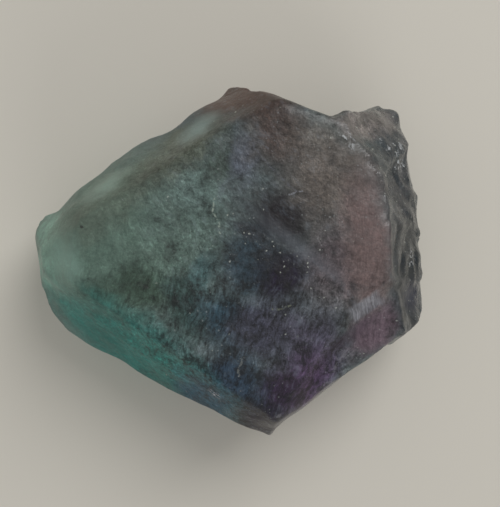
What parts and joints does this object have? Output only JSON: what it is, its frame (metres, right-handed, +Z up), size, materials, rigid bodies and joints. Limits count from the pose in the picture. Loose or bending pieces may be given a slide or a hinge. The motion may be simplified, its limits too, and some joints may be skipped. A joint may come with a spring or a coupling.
{
  "type": "fluorite octahedron",
  "caption": "Flattened octahedral cleavage crystal of colour-zoned fluorite, with frosted faces, a stepped corner and a rough broken side.",
  "frame": {"origin": "centre of the bounding box, at the height of the flat base", "axes": "+X towards the rough broken side, along the longest extent; +Z up, out of the broad upper face"},
  "size_m": [0.036, 0.0322, 0.0151],
  "materials": {
    "fluorite": "frosted translucent crystal, zoned teal, grey-green, slate, purple and brown"
  },
  "bodies": {
    "root": {"fluorite_crystal": "fluorite"}
  },
  "joints": []
}
